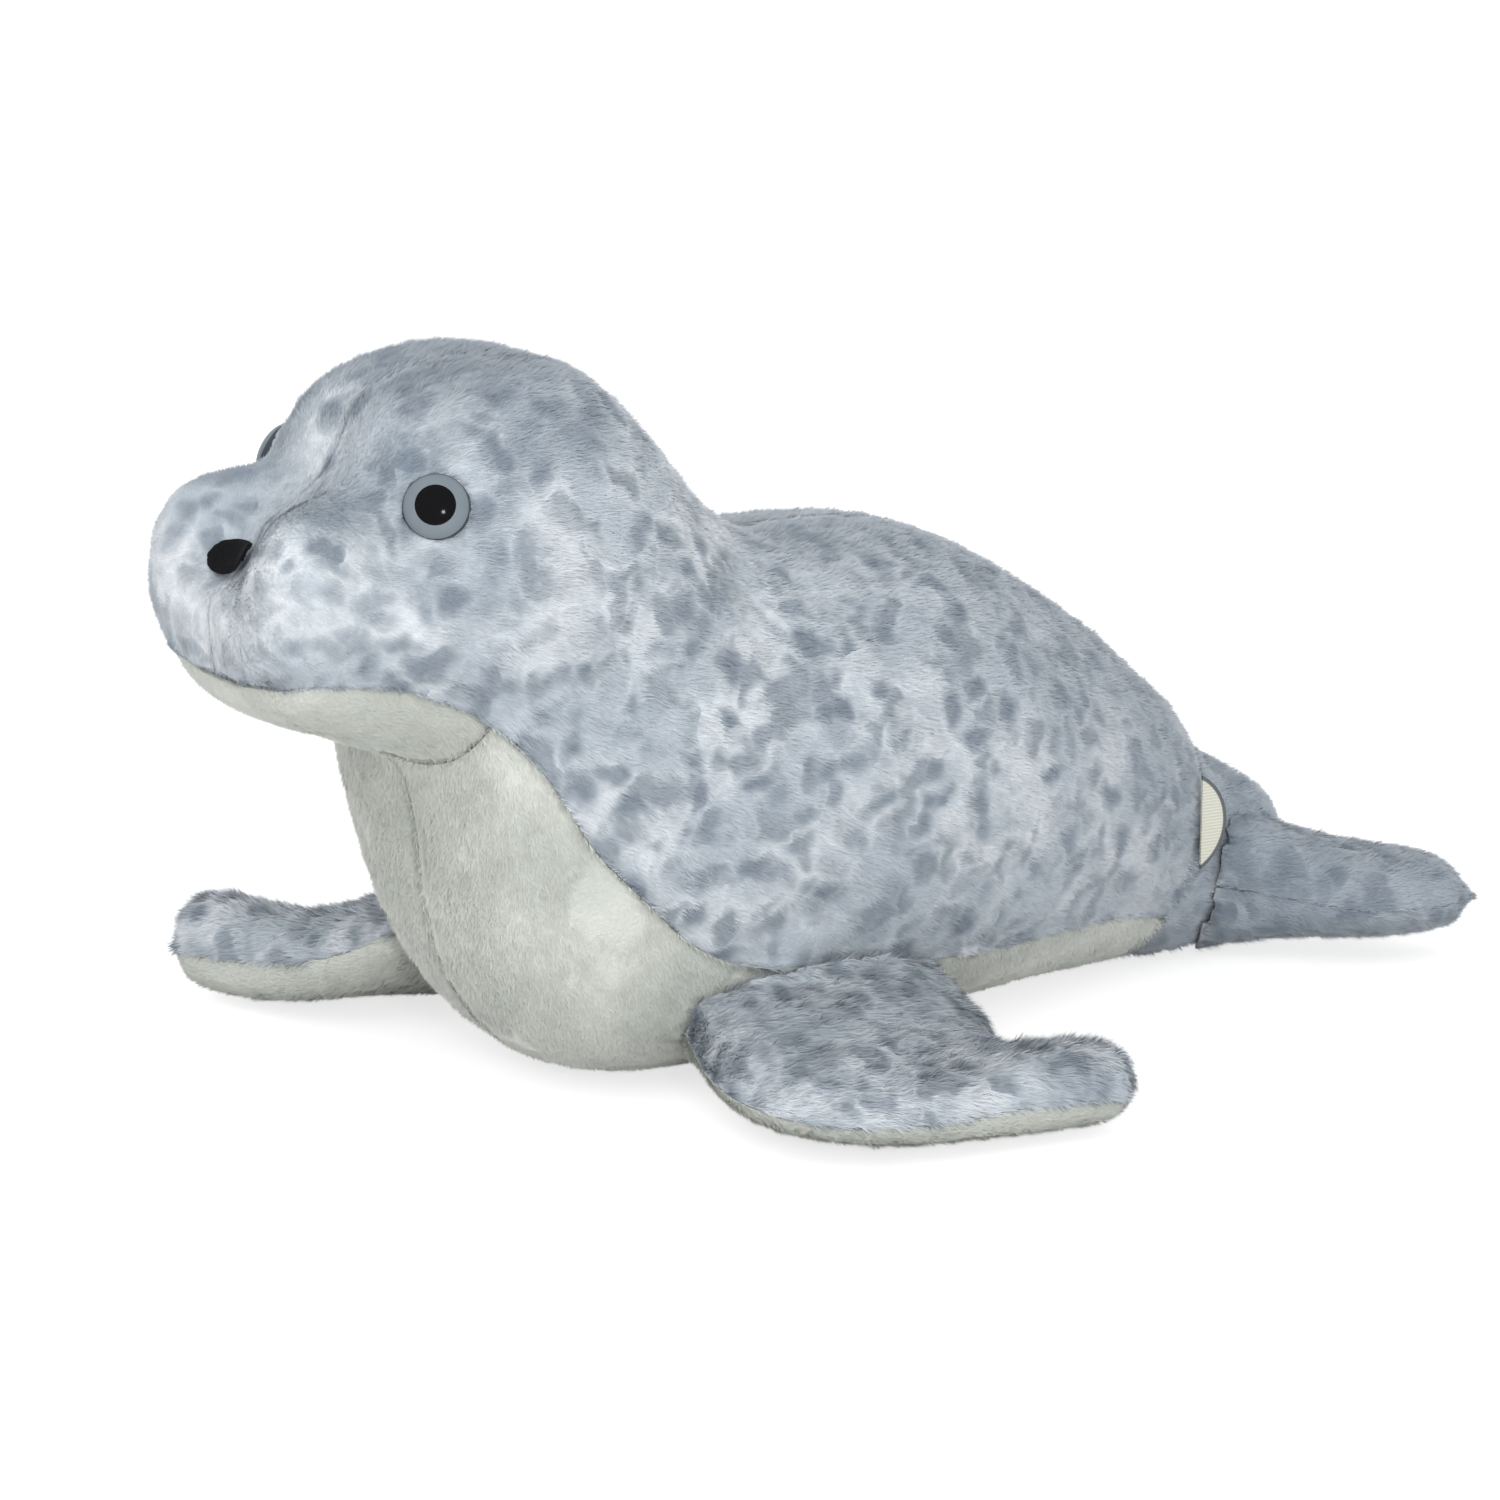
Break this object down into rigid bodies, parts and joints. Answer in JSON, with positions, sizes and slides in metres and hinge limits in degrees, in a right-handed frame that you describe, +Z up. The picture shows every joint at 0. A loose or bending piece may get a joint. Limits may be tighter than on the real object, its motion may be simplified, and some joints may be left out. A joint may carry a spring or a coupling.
{
  "type": "plush seal",
  "caption": "Soft toy seal lying on its belly, with printed grey plush sides and back, cream chest and flippers, domed eyes and a stitched nose.",
  "frame": {"origin": "on the surface it rests on, under the centre of its bounding box", "axes": "+Z up, +Y along the body from the head to the tail, +X to the seal's own left"},
  "size_m": [0.2494, 0.3778, 0.1977],
  "materials": {
    "printed_plush": "soft pile with a mottled blue-grey print",
    "cream_plush": "short soft pile, cream",
    "filling": "white polyester fibre",
    "eye": "glossy black pupil in a smooth grey iris",
    "washer": "moulded, uncoloured",
    "thread": "black satin stitches",
    "label": "woven ribbon with a grey border"
  },
  "bodies": {
    "root": {"body_panel_left": "printed_plush", "body_panel_right": "printed_plush", "belly_panel_left": "cream_plush", "belly_panel_right": "cream_plush", "chin_panel": "cream_plush", "tail_band": "printed_plush", "front_flipper_left_top": "printed_plush", "front_flipper_left_under": "cream_plush", "front_flipper_right_top": "printed_plush", "front_flipper_right_under": "cream_plush", "rear_flipper_left_top": "printed_plush", "rear_flipper_left_under": "printed_plush", "rear_flipper_right_top": "printed_plush", "rear_flipper_right_under": "printed_plush", "stuffing_body": "filling", "stuffing_front_flipper_left": "filling", "stuffing_front_flipper_right": "filling", "stuffing_rear_flipper_left": "filling", "stuffing_rear_flipper_right": "filling", "eye_left": "eye", "eye_right": "eye", "eye_washer_left": "washer", "eye_washer_right": "washer", "nose_embroidery": "thread", "seam_label": "label"}
  },
  "joints": []
}
